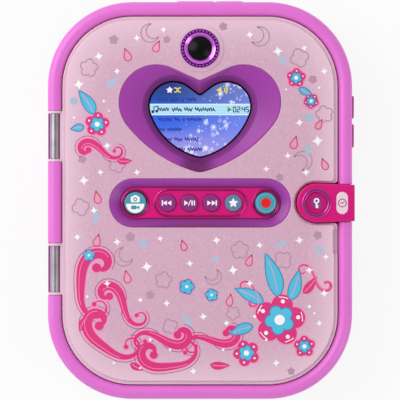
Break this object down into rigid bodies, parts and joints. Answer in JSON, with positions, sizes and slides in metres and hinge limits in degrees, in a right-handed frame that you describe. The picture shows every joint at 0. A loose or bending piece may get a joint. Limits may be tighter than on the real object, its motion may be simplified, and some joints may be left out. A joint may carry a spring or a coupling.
{
  "type": "electronic secret diary",
  "caption": "Bookshelf-style electronic diary: hinged lid with heart screen, camera and keys over a case with lock, notepad, pen and compartment.",
  "frame": {"origin": "centre of the case's outline on the plane of its four feet", "axes": "+X from the hinge towards the lock, +Y up the front, +Z out of the lid; the diary lies on its back"},
  "size_m": [0.1853, 0.2418, 0.0432],
  "materials": {
    "rim": "moulded orchid ABS, soft gloss",
    "back": "moulded violet ABS, fine satin",
    "rubber": "dark soft rubber",
    "cover_rubber": "orchid soft rubber",
    "cell_jacket": "printed film on steel can",
    "nickel": "nickel-plated spring steel",
    "screw_steel": "zinc-plated steel",
    "speaker_black": "black driver with paper cone",
    "liner": "moulded lilac ABS, satin",
    "pad_card": "printed magenta card",
    "pad_paper": "pale paper block",
    "pen_pink": "pink pen barrel",
    "pen_violet": "violet pen cap",
    "hinge_chrome": "chrome-plated steel",
    "magenta": "moulded magenta ABS, gloss",
    "magenta_metal": "magenta vacuum-metallised plastic",
    "unlock_magenta": "magenta key with symbol",
    "clock_pink": "pale pink key with clock symbol",
    "board_green": "solder-masked circuit board",
    "motor_steel": "zinc-plated motor can",
    "lock_white": "natural acetal",
    "socket_steel": "tinned steel shell",
    "socket_black": "black socket body",
    "lid_clear": "clear pink-tinted polycarbonate",
    "glitter_panel": "satin pink panel with fine glitter and printed motifs",
    "bezel_purple": "glossy purple ABS",
    "window": "hard-coated clear window",
    "gasket": "black foam gasket",
    "display": "colour display in a steel frame",
    "ring_metal": "purple vacuum-metallised plastic",
    "dome_black": "smoked acrylic dome",
    "camera_black": "camera housing",
    "key_teal": "teal key with printed symbol",
    "key_purple": "purple key with printed symbol",
    "key_star": "blue-grey key with printed star",
    "mat_silicone": "translucent silicone",
    "mic_steel": "microphone can",
    "lid_shell": "moulded lilac-pink ABS, satin"
  },
  "bodies": {
    "case": {"rim_frame": "rim", "back_cover": "back", "rubber_feet": "rubber", "aa_cells": "cell_jacket", "battery_contacts": "nickel", "case_screws": "screw_steel", "speaker": "speaker_black", "tray_liner": "liner", "notepad_cover": "pad_card", "notepad_pages": "pad_paper", "pen_barrel": "pen_pink", "pen_cap": "pen_violet", "hinge_pins": "hinge_chrome", "lock_housing": "magenta", "lock_ring": "magenta_metal", "lock_board": "board_green", "lock_motor": "motor_steel", "lock_chassis": "lock_white", "port_board": "board_green", "usb_socket": "socket_steel", "headphone_jack": "socket_black", "card_socket": "socket_steel", "side_key_board": "board_green"},
    "lid": {"lid_frame": "lid_clear", "front_panel": "glitter_panel", "heart_bezel": "bezel_purple", "screen_window": "window", "screen_gasket": "gasket", "display_module": "display", "camera_ring": "ring_metal", "camera_dome": "dome_black", "camera_module": "camera_black", "key_bowl": "bezel_purple", "key_plate": "magenta", "key_rings": "magenta_metal", "key_mat": "mat_silicone", "main_board": "board_green", "microphone": "mic_steel", "lid_back_shell": "lid_shell", "lid_screws": "screw_steel"},
    "camera_key": {"camera_key": "key_teal"},
    "previous_key": {"previous_key": "key_purple"},
    "play_key": {"play_key": "key_purple"},
    "next_key": {"next_key": "key_purple"},
    "star_key": {"star_key": "key_star"},
    "record_key": {"record_key": "key_teal"},
    "unlock_button": {"unlock_button": "unlock_magenta"},
    "clock_button": {"clock_button": "clock_pink"},
    "volume_up_key": {"volume_up_key": "magenta"},
    "volume_down_key": {"volume_down_key": "magenta"},
    "headphone_cover": {"headphone_cover": "cover_rubber"},
    "usb_cover": {"usb_cover": "cover_rubber"},
    "battery_door": {"battery_door": "back", "door_screw": "screw_steel"},
    "latch_bolt": {"latch_bolt": "lock_white"},
    "lock_pinion": {"lock_pinion": "lock_white"}
  },
  "joints": [
    {"name": "lid_hinge", "type": "hinge", "parent": "case", "child": "lid", "pos_m": [-0.08775, -0.0015, 0.0358], "axis": [0, -1, 0], "range_deg": [0, 170]},
    {"name": "camera_key_press", "type": "slide", "parent": "lid", "child": "camera_key", "axis": [0, 0, -1], "range_m": [0, 0.001], "stiffness_N_per_m": 400},
    {"name": "previous_key_press", "type": "slide", "parent": "lid", "child": "previous_key", "axis": [0, 0, -1], "range_m": [0, 0.001], "stiffness_N_per_m": 400},
    {"name": "play_key_press", "type": "slide", "parent": "lid", "child": "play_key", "axis": [0, 0, -1], "range_m": [0, 0.001], "stiffness_N_per_m": 400},
    {"name": "next_key_press", "type": "slide", "parent": "lid", "child": "next_key", "axis": [0, 0, -1], "range_m": [0, 0.001], "stiffness_N_per_m": 400},
    {"name": "star_key_press", "type": "slide", "parent": "lid", "child": "star_key", "axis": [0, 0, -1], "range_m": [0, 0.001], "stiffness_N_per_m": 400},
    {"name": "record_key_press", "type": "slide", "parent": "lid", "child": "record_key", "axis": [0, 0, -1], "range_m": [0, 0.001], "stiffness_N_per_m": 400},
    {"name": "unlock_press", "type": "slide", "parent": "case", "child": "unlock_button", "axis": [0, 0, -1], "range_m": [0, 0.001], "stiffness_N_per_m": 400},
    {"name": "clock_press", "type": "slide", "parent": "case", "child": "clock_button", "axis": [0, 0, -1], "range_m": [0, 0.0008], "stiffness_N_per_m": 400},
    {"name": "volume_up_press", "type": "slide", "parent": "case", "child": "volume_up_key", "axis": [-1, 0, 0], "range_m": [0, 0.0005], "stiffness_N_per_m": 400},
    {"name": "volume_down_press", "type": "slide", "parent": "case", "child": "volume_down_key", "axis": [-1, 0, 0], "range_m": [0, 0.0005], "stiffness_N_per_m": 400},
    {"name": "headphone_cover_pull", "type": "slide", "parent": "case", "child": "headphone_cover", "axis": [0, 1, 0], "range_m": [0, 0.006]},
    {"name": "usb_cover_pull", "type": "slide", "parent": "case", "child": "usb_cover", "axis": [0, 1, 0], "range_m": [0, 0.006]},
    {"name": "battery_door_hinge", "type": "hinge", "parent": "case", "child": "battery_door", "pos_m": [0, 0.06115, 0.001], "axis": [-1, 0, 0], "range_deg": [0, 75]},
    {"name": "latch_slide", "type": "slide", "parent": "case", "child": "latch_bolt", "axis": [-1, 0, 0], "range_m": [0, 0.0035]},
    {"name": "pinion_spin", "type": "hinge", "parent": "case", "child": "lock_pinion", "pos_m": [0.078, 0.0027, 0.032], "axis": [0, 0, -1], "range_deg": [0, 50.2]}
  ],
  "couplings": [
    {"joint": "pinion_spin", "follows": "latch_slide", "rad_per_m": 250}
  ]
}
